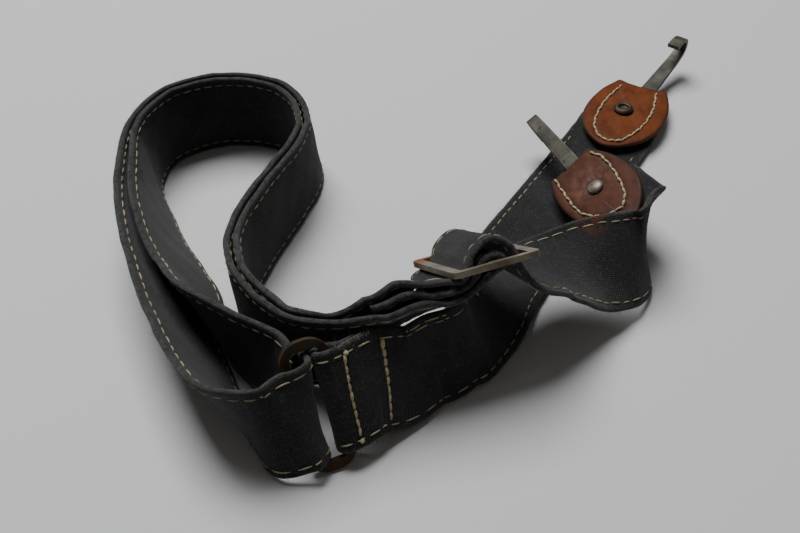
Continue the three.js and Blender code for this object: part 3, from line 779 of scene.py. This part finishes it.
sliderMetal = makeMetal("dull_slider_steel", metal["steel"], metal["steelDark"], metal["rust"],
                        260, 0.62, 0.5, inFrame(sliderFrame, -15, 19, 0) * mm + layoutShift)
ringMetal = makeMetal("rusty_ring_steel", metal["ringDark"], metal["ringDark"], metal["ringRust"],
                      160, 0.45, 0.6)
hookMetal = makeMetal("tarnished_hook_brass", metal["brass"], metal["brassDark"], metal["brassDark"],
                      300, 0.6, 0.5)
bevelledCopy("slider_plate", "slider_buckle", sliderMetal, 0.45)
bevelledCopy("oval_ring", "strap_ring", ringMetal, 0.8)
bevelledCopy("upper_hook", "hook_a", hookMetal, 0.35)
bevelledCopy("lower_hook", "hook_b", hookMetal, 0.35)
print("metal bevelled")


# rivets
rivet = {"shank": 1.8, "tail": 3, "tailHigh": 0.9, "steps": 48}
hollowHead = [(0, 0.4), (1.7, 0.4), (2.3, 1.3), (3.4, 1.4), (4.3, 0.5), (4.3, 0)]  # radius, height
domedHead = [(0, 1.5), (1.6, 1.3), (2.8, 0.7), (3.3, 0)]


def buildRivet(name, head, at, material, node):
    top = leather["thick"] / 2 + band["seat"]
    crown = splineThrough(head, np.linspace(0, 1, 30), False)[::-1]
    below = -tailDrop - rivet["tailHigh"]
    profile = [(0, below), (rivet["tail"], below), (rivet["tail"], -tailDrop), (rivet["shank"], -tailDrop),
               (rivet["shank"], top)] + [(max(r, 0), top + high) for r, high in crown]
    bm = bmesh.new()
    corners = [bm.verts.new((r, 0, high)) for r, high in profile]
    line = [bm.edges.new(pair) for pair in zip(corners, corners[1:])]
    bmesh.ops.spin(bm, geom=corners + line, cent=(0, 0, 0), axis=(0, 0, 1), dvec=(0, 0, 0),
                   angle=2 * math.pi, steps=rivet["steps"], use_merge=True)
    bmesh.ops.remove_doubles(bm, verts=bm.verts[:], dist=0.001)
    bmesh.ops.recalc_face_normals(bm, faces=bm.faces[:])
    bmesh.ops.transform(bm, matrix=frameMatrix(at), verts=bm.verts[:])
    for vert in bm.verts:
        vert.co = vert.co * mm + layoutShift
    return addPiece(name, meshFrom(bm, name), material, node)


darkRivet = makeMetal("dark_rivet_metal", metal["rivet"], metal["rivetDark"], metal["rivetDark"],
                      300, 0.58, 0.5)
paleRivet = makeMetal("pale_rivet_metal", metal["paleRivet"], metal["steelDark"], metal["rivetDark"],
                      420, 0.6, 0.42)
buildRivet("upper_rivet", hollowHead, frameA, darkRivet, "rivet_a")
buildRivet("lower_rivet", domedHead, frameB, paleRivet, "rivet_b")
print("rivets spun")


# fuzz of the worn cloth: short bent fibres on the edges, a few on the faces
fuzz = {
    "longCount": 4200, "shortCount": 1300, "length": (0.5, 1.7), "thick": 0.09,
    "grey": (0.075, 0.075, 0.08, 1),
}
frays = {"count": 70, "from": 238, "to": 249, "length": (0.3, 0.9), "thick": 0.16}
hemFrays = {"count": 220, "from": 0.2, "to": 3, "length": (0.8, 2), "thick": 0.12}
fibreShape = bmesh.new()
bmesh.ops.create_cone(fibreShape, cap_ends=False, segments=3, radius1=1, radius2=0.35, depth=1)
fibreRuns = [e for e in fibreShape.edges if abs(e.verts[0].co.z - e.verts[1].co.z) > 0.5]
bmesh.ops.subdivide_edges(fibreShape, edges=fibreRuns, cuts=2, use_grid_fill=True)
fibreCorners = np.array([v.co for v in fibreShape.verts])


def fibres(along, around, lengths, thick, seed):
    # flat corners of many fibres: rooted on the cloth's section and bent as they leave it
    noise = np.random.default_rng(seed)
    count = len(along)
    across = band["width"] / 2 * np.cos(around)
    side = np.where(np.sin(around) >= 0, 1, -1)
    out = side * clothHalf(along, across)
    root = np.stack([along, across, out], axis=1)
    away = np.stack([np.zeros(count), np.cos(around), np.sin(around)], axis=1)
    lean = noise.normal(0, 0.75, (count, 3))
    curl = noise.normal(0, 0.7, (count, 3))
    length = noise.uniform(*lengths, count)
    t = fibreCorners[:, 2] + 0.5
    line = root[:, None] + length[:, None, None] * ((away + lean)[:, None] * t[None, :, None] * 0.7
                                                    + curl[:, None] * (t ** 2)[None, :, None] * 0.5)
    ring = np.stack([fibreCorners[:, 0], fibreCorners[:, 1], np.zeros(len(t))], axis=1)
    return line + ring[None] * thick / 2


def addFuzz(name, flat, place, material):
    copies, corners = flat.shape[:2]
    placed = place(flat.reshape(-1, 3)).reshape(copies, corners, 3)
    placed[:, :, 2] = np.maximum(placed[:, :, 2], 0.2 * mm)  # nothing goes under the floor
    tone = np.random.default_rng(3).uniform(0.2, 1, copies)
    return addPiece(name, joinedMesh(name, fibreShape, placed, tone), material)


def edgeAngles(noise, count):
    nearEdge = noise.normal(0, 0.16, count) + np.where(noise.random(count) < 0.5, 0, math.pi)
    return np.where(noise.random(count) < 0.8, nearEdge, noise.uniform(0, 2 * math.pi, count))


def makeFuzz():
    material, tree, shader = newMaterial("cloth_fuzz")
    tone = addNode(tree, "Attribute", {"attribute_name": "threadTone"}).outputs["Fac"]
    color = blendColors(tree, tone, canvas["faded"], fuzz["grey"])
    tree.links.new(color, shader.inputs["Base Color"])
    shader.inputs["Roughness"].default_value = 0.9
    return material


fuzzMaterial = makeFuzz()
for name, route, place, count, start, seed in (
        ("long_strap_fuzz", longRoute, onLong, fuzz["longCount"], sewnFrom["long"], 11),
        ("short_strap_fuzz", shortRoute, onShort, fuzz["shortCount"], sewnFrom["short"], 12)):
    noise = np.random.default_rng(seed)
    along = noise.uniform(start, route["length"] - 0.5, count)
    flat = fibres(along, edgeAngles(noise, count), fuzz["length"], fuzz["thick"], seed)
    addFuzz(name, flat, place, fuzzMaterial)
noise = np.random.default_rng(13)
frayAlong = noise.uniform(frays["from"], frays["to"], frays["count"])
frayAngle = noise.normal(0.12, 0.15, frays["count"])
frayFlat = fibres(frayAlong, frayAngle, frays["length"], frays["thick"], 14)
addFuzz("frayed_edge_threads", frayFlat, onShort, threadMaterial)
hemAlong = longRoute["length"] - noise.uniform(hemFrays["from"], hemFrays["to"], hemFrays["count"])
hemAngle = noise.uniform(0, 2 * math.pi, hemFrays["count"])
hemFlat = fibres(hemAlong, hemAngle, hemFrays["length"], hemFrays["thick"], 15)
addFuzz("return_end_fuzz", hemFlat, onLong, fuzzMaterial)
print("fuzz grown")


# floor and light
stage = {
    "floor": (0.57, 0.57, 0.576, 1), "floorSize": 4.0, "sky": (1, 0.98, 0.95, 1), "skyStrength": 0.1,
}
bm = bmesh.new()
bmesh.ops.create_grid(bm, x_segments=1, y_segments=1, size=stage["floorSize"])
floor = bpy.data.objects.new("floor", meshFrom(bm, "floor"))
bpy.context.collection.objects.link(floor)
floorMaterial, floorTree, floorShader = newMaterial("pale_floor")
floorShader.inputs["Base Color"].default_value = stage["floor"]
floorShader.inputs["Roughness"].default_value = 0.7
floor.data.materials.append(floorMaterial)

lamps = {  # place, aim, size, power, colour
    "window_light": ((-0.3, 0.6, 1.5), (0, 0, 0), 0.9, 37, (0.98, 0.99, 1)),
    "front_fill": ((0.6, -1.2, 1.0), (0, 0, 0), 1.4, 0.5, (1, 0.86, 0.7)),
}
for name, (place, aim, size, power, color) in lamps.items():
    lampData = bpy.data.lights.new(name, "AREA")
    lampData.size = size
    lampData.energy = power
    lampData.color = color
    lamp = bpy.data.objects.new(name, lampData)
    lamp.location = place
    lamp.rotation_euler = (Vector(aim) - Vector(place)).to_track_quat("-Z", "Y").to_euler()
    bpy.context.collection.objects.link(lamp)
world = bpy.data.worlds.new("studio")
bpy.context.scene.world = world
world.use_nodes = True
world.node_tree.nodes["Background"].inputs["Color"].default_value = stage["sky"]
world.node_tree.nodes["Background"].inputs["Strength"].default_value = stage["skyStrength"]
print("stage lit")
